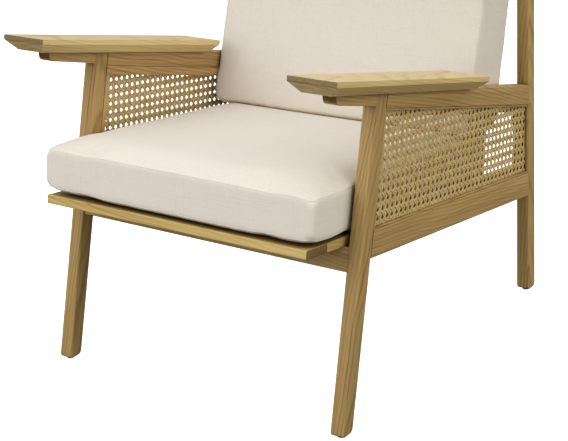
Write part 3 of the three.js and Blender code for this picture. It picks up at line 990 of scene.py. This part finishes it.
def grownShape(mesh, cut, swollen, spec, length):
    # a firm filling: the cloth's own shape, brought to the swell and draw that the cushion has
    middle = np.array([0, length / 2, sum(spec["seams"]) / 2])
    shift = swollen - cut
    size = np.maximum(np.linalg.norm(shift, axis=1), 1e-9)
    shift *= (cushionCloth["reach"] * np.tanh(size / cushionCloth["reach"]) / size)[:, None]
    shift = calmed(shift, mesh)
    outward = np.sign(cut - middle)
    shift *= outward
    swell = spec["swell"]
    upper = outward[:, 2] > 0
    everywhere = np.ones(len(cut), bool)
    regions = (
        (0, everywhere, swell["side"]),
        (1, everywhere, swell["end"]),
        (2, upper, swell["top"]),
        (2, ~upper, swell["under"]),
    )
    for axis, region, grown in regions:
        out = region & (shift[:, axis] > 0)
        drawn = region & (shift[:, axis] < 0)
        shift[out, axis] *= grown / shift[out, axis].max()
        shift[drawn, axis] *= min(1, spec["draw"] / -shift[drawn, axis].min())
    return cut + shift * outward


def treeOf(points):
    tree = KDTree(len(points))
    for i, place in enumerate(points):
        tree.insert(place, i)
    tree.balance()
    return tree


def seamPath(cut, shape, spec, half, length, height):
    # the cut edge carried along by the swelling
    tree = treeOf(cut)
    loop = roundedLoop(half, length, spec["cornerRadius"], cushionSeam["cornerArc"])
    path = []
    for (a, b), (nextA, nextB) in zip(loop, loop[1:] + loop[:1]):
        count = max(1, round(math.dist((a, b), (nextA, nextB)) / cushionSeam["step"]))
        for i in range(count):
            share = i / count
            spot = Vector((a + (nextA - a) * share, b + (nextB - b) * share, height))
            found = tree.find_n(spot, cushionSeam["nearest"])
            path.append(np.mean([shape[index] for _, index, _ in found], axis=0))
    path = np.array(path)
    for _ in range(cushionSeam["calm"]):
        path = (np.roll(path, 1, 0) + 2 * path + np.roll(path, -1, 0)) / 4
    return path


def sinkSeam(mesh, path, seed):
    # pulls the cloth in along the seam and gathers it a little on both sides
    rng = random.Random(seed)
    ranges = [cushionSeam[word] for word in ("waveLength", "wavePhase", "waveHeight")]
    waves = [[rng.uniform(*ends) for ends in ranges] for _ in range(cushionSeam["waves"])]
    tree = treeOf(path)
    run = np.cumsum(np.linalg.norm(path - np.roll(path, 1, 0), axis=1))
    width, depth, gather = (cushionSeam[word] for word in ("width", "depth", "gather"))
    coords = coordsOf(mesh)
    normals = np.empty(len(mesh.vertices) * 3)
    mesh.vertices.foreach_get("normal", normals)
    normals = normals.reshape(-1, 3)
    for i, place in enumerate(coords):
        _, index, distance = tree.find(place)
        if distance > 2 * gather:
            continue
        turn = 2 * math.pi * run[index]
        wave = sum(high * math.sin(turn / length + phase) for length, phase, high in waves)
        lift = cushionSeam["pucker"] * wave * math.exp(-((distance / gather) ** 2))
        if distance < width:
            lift -= depth * (1 - (distance / width) ** 2) ** 2
        coords[i] += normals[i] * lift
    mesh.vertices.foreach_set("co", coords.ravel())
    mesh.update()


def seamTree():
    tree = bpy.data.node_groups.new("sewnSeam", "GeometryNodeTree")
    addSockets(tree, "INPUT", {"Paths": "Geometry", "Radius": "Float", "Finish": "Material"})
    addSockets(tree, "OUTPUT", {"Seam": "Geometry"})
    start = addNode(tree, "NodeGroupInput").outputs
    curve = addNode(tree, "GeometryNodeMeshToCurve", {0: start["Paths"]}).outputs[0]
    circle = {"Resolution": cushionSeam["sides"], "Radius": start["Radius"]}
    ring = addNode(tree, "GeometryNodeCurvePrimitiveCircle", circle).outputs[0]
    addSweep(tree, curve, ring, start["Finish"], False)
    return tree


def makeLinen(name, along, seed, value):
    # threads run along the cushion's own axes, with a thicker one here and there
    material, tree = newMaterial(name)
    lean = math.atan2(along[2], along[1])
    coords = addNode(tree, "ShaderNodeTexCoord").outputs["Object"]
    flat = addNode(tree, "ShaderNodeMapping", {0: coords, 2: (-lean, 0, 0)}).outputs[0]

    def noise(stretch, offset, detail=1.0):
        laid = {0: flat, 1: (seed + offset,) * 3, 3: stretch}
        place = addNode(tree, "ShaderNodeMapping", laid).outputs[0]
        sizes = {"Vector": place, "Scale": 1.0, "Detail": detail, "Roughness": 0.5}
        return addNode(tree, "ShaderNodeTexNoise", sizes).outputs[0]

    def threads(lengths, across, offsets):
        layers = []
        for axis, (length, offset) in enumerate(zip(lengths, offsets)):
            stretch = [across] * 3
            stretch[axis] = length
            layers.append(noise(stretch, offset))
        return strongest(tree, layers)

    weave = threads(*linen["threads"])
    slubs = rampNode(tree, threads(*linen["slubs"]), linen["contrast"]["slubs"])
    size, offset = linen["cloud"]
    cloud = noise((size, size, size), offset, 2.0)
    gaps = rampNode(tree, weave, linen["contrast"]["gaps"])
    layers = {"threads": gaps, "slubs": slubs, "cloud": cloud}
    shade = weightedSum(tree, [(layer, linen["shares"][word]) for word, layer in layers.items()])
    light, dark = ([c * value for c in linen[key]] for key in ("colour", "shade"))
    colour = mixColour(tree, shade, (*light, 1), (*dark, 1))
    # painted shade: darker and warmer in the crease between the cushions and close to the frame and
    # cane
    for word in ("tuck", "near"):
        colour = tinted(tree, paintedCornerShade(tree, *linen[word]), colour, linen[word + "Tint"])
    height = weave
    for word, share in linen["heights"].items():
        height = mathNode(tree, "ADD", height, mathNode(tree, "MULTIPLY", layers[word], share))
    rough = mathNode(tree, "MULTIPLY", weave, linen["threadRoughness"])
    finish = {
        "Base Color": colour,
        "Roughness": mathNode(tree, "ADD", rough, linen["roughness"]),
        "Normal": bumpNode(tree, height, *linen["bump"]),
        "Specular IOR Level": linen["gloss"],
        "Sheen Weight": linen["sheen"],
        "Sheen Roughness": linen["sheenRoughness"],
    }
    finishMaterial(tree, finish)
    return material


# How the cushions give where they touch. A zone is where a change begins and where it is full,
# in metres along one of the cushion's axes or, for the seat, of the room's y axis.
contactEase = {"side": 0.0012, "top": 0.0015, "rest": 0.0018, "foot": 0.0025}

# the seat cushion stands a little higher on the right at the back, and the back cushion on it
cushionTilt = {"rise": 0.0036, "half": 0.28}

sideEdge = {"half": 0.2975, "power": 3}  # the strip along a side whose seam lies higher

seatRest = {
    "leg": (-0.2106, 0.577, 0.254),  # y of a leg's front face, at a height, and its lean
    "half": 0.2940,
    "aheadZone": (0.002, 0.036),
    "aheadWider": 0.0110,
    "aheadPush": 0.0050,
    "behindZone": (0.030, 0.090),
    "behindWider": 0.0035,
    "upperZone": (0.02, 0.085),
    "edgeZone": (0.10, 0.20),
    "edgeRise": 0.003,
    "rearZone": (0.20, 0.56),
    "rearRise": 0.005,
    "pressedZone": (0.110, 0.146),
    "pressedHeight": 0.1110,
    "slotZone": (0.138, 0.154),
    "slotDrop": 0.0050,
}

backRest = {
    "frontZone": (0.03, 0.12),
    "footZone": (0.04, 0.26),
    "footSwell": 0.009,
    "leftSwell": 0.004,
    "swellHalf": 0.3,
    "cornerZone": (0.0, 0.09),
    "cornerRise": 0.004,
    "tiltZone": (0.02, 0.16),
    "half": 0.2983,
    "freeZone": (0.13, 0.20),
    "freeWider": 0.0051,
    "lowZone": (0.055, 0.080),
    "lowWider": 0.0018,
    "lowPush": 0.002,
}


def tiltAt(across):
    return cushionTilt["rise"] * (1 + across / cushionTilt["half"])


def edgeShare(across):
    return np.abs(across / sideEdge["half"]) ** sideEdge["power"]


def heldSides(across, push, limit):
    # the two sides pushed outwards and held within the limit
    return np.sign(across) * softLimit(np.abs(across) + push, limit, contactEase["side"])


def settleSeat(shape):
    # flat on the slats, pinched between the legs and pressed down under the back cushion
    rest = seatRest
    world = (shape + cushionSpot["low"]) @ cushionSpot["axes"]
    y, height, lean = rest["leg"]
    legFront = lean * (world[:, 2] - height) + y
    ahead = smoothStep(legFront - world[:, 1], *rest["aheadZone"])
    behind = smoothStep(world[:, 1] - legFront, *rest["behindZone"])
    limit = rest["half"] + rest["aheadWider"] * ahead + rest["behindWider"] * behind
    shape[:, 0] = heldSides(shape[:, 0], rest["aheadPush"] * ahead, limit)
    upper = smoothStep(shape[:, 2], *rest["upperZone"])
    edge = edgeShare(shape[:, 0])
    rear = smoothStep(shape[:, 1], *rest["rearZone"])
    raised = rest["edgeRise"] * smoothStep(shape[:, 1], *rest["edgeZone"])
    shape[:, 2] += upper * edge * (raised + rest["rearRise"] * rear)
    under = smoothStep(world[:, 1], *rest["pressedZone"])
    slot = smoothStep(world[:, 1], *rest["slotZone"])
    tilt = tiltAt(shape[:, 0])
    shape[:, 2] += upper * rear * tilt
    ceiling = rest["pressedHeight"] + tilt - rest["slotDrop"] * slot
    pressed = softLimit(shape[:, 2], ceiling, contactEase["top"])
    shape[:, 2] += (pressed - shape[:, 2]) * under
    shape[:, 2] = aboveZero(shape[:, 2], contactEase["rest"])
    return shape


def settleBack(shape):
    # leans on the slats and stands on the seat cushion, its filling settled towards the foot
    rest = backRest
    front = smoothStep(shape[:, 2], *rest["frontZone"])
    foot = 1 - smoothStep(shape[:, 1], *rest["footZone"])
    left = rest["leftSwell"] * -shape[:, 0] / rest["swellHalf"]
    shape[:, 2] += front * (rest["footSwell"] * foot + left)
    corner = edgeShare(shape[:, 0]) * (1 - smoothStep(shape[:, 1], *rest["cornerZone"]))
    shape[:, 1] += rest["cornerRise"] * corner * front
    shape[:, 1] += tiltAt(shape[:, 0]) * (1 - smoothStep(shape[:, 1], *rest["tiltZone"]))
    free = smoothStep(shape[:, 1], *rest["freeZone"])
    low = 1 - smoothStep(shape[:, 1], *rest["lowZone"])
    limit = rest["half"] + rest["freeWider"] * free + rest["lowWider"] * low
    shape[:, 0] = heldSides(shape[:, 0], rest["lowPush"] * low, limit)
    shape[:, 1] = aboveZero(shape[:, 1], contactEase["foot"])
    shape[:, 2] = aboveZero(shape[:, 2], contactEase["rest"])
    return shape


cushionSpot = {}  # the axes and the lowest corner of the cushion that is being made


def makeCushion(spec, settle):
    axes = cushionAxes(spec)
    solid = coordsOf(nodes[spec["node"]].data) @ axes.T
    low, high = solid.min(axis=0), solid.max(axis=0)
    cushionSpot.update(axes=axes, low=np.array([0, low[1], low[2]]))
    swell = spec["swell"]
    half = spec["half"] - swell["side"]
    length = high[1] - low[1] - 2 * swell["end"]
    voxel = cushionCloth["voxel"]
    mesh = cutBox(spec, half, length, voxel)
    cut = coordsOf(mesh)
    shape = grownShape(mesh, cut, swellCloth(mesh), spec, length)
    shape[:, 1] += swell["end"]
    shape = settle(shape)
    paths = [seamPath(cut, shape, spec, half, length, height) for height in spec["seams"]]
    mesh.vertices.foreach_set("co", shape.ravel())
    mesh.update()
    draft = linkedObject("draft", mesh)
    smooth = draft.modifiers.new("smooth", "SUBSURF")
    smooth.levels = smooth.render_levels = 1
    mesh = bakedMesh(draft)
    bpy.data.objects.remove(draft)
    mesh.name = spec["node"] + "_linen"
    for i, path in enumerate(paths):
        sinkSeam(mesh, path, spec["seed"] + i)
    surface = BVHTree.FromPolygons(
        [v.co for v in mesh.vertices], [tuple(p.vertices) for p in mesh.polygons]
    )
    cloth = makeLinen(f"linen_{spec['node']}", axes[1], spec["seed"], spec["value"])
    total = high[1] - low[1]

    def placed(points):
        points = np.array(points)
        points[:, 1] += spec["skew"] * points[:, 2] * (1 - points[:, 1] / total)
        return (points + cushionSpot["low"]) @ axes

    for polygon in mesh.polygons:
        polygon.use_smooth = True
    mesh.vertices.foreach_set("co", placed(coordsOf(mesh)).ravel())
    mesh.materials.clear()
    mesh.materials.append(cloth)
    mesh.update()
    pad = linkedObject(spec["node"] + "_linen", mesh)
    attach(pad, spec["body"])
    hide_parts(spec["node"])
    for name, path in zip(("lower", "upper"), paths):
        points = placed([surface.find_nearest(Vector(p))[0] for p in path])
        line = pathMesh("seamLine", [[tuple(p) for p in points]])
        closing = bmesh.new()
        closing.from_mesh(line.data)
        closing.verts.ensure_lookup_table()
        closing.edges.new((closing.verts[0], closing.verts[-1]))
        closing.to_mesh(line.data)
        closing.free()
        values = {"Radius": cushionSeam["radius"], "Finish": cloth}
        seamMesh = growMesh(line, sewnSeamTree, values)
        seam = linkedObject(f"{spec['node']}_seam_{name}", seamMesh)
        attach(seam, spec["body"])
    print(spec["node"], len(mesh.polygons), "faces", [round(v, 4) for v in np.ptp(shape, axis=0)])


sewnSeamTree = seamTree()
makeCushion(seatCushion, settleSeat)
makeCushion(backCushion, settleBack)
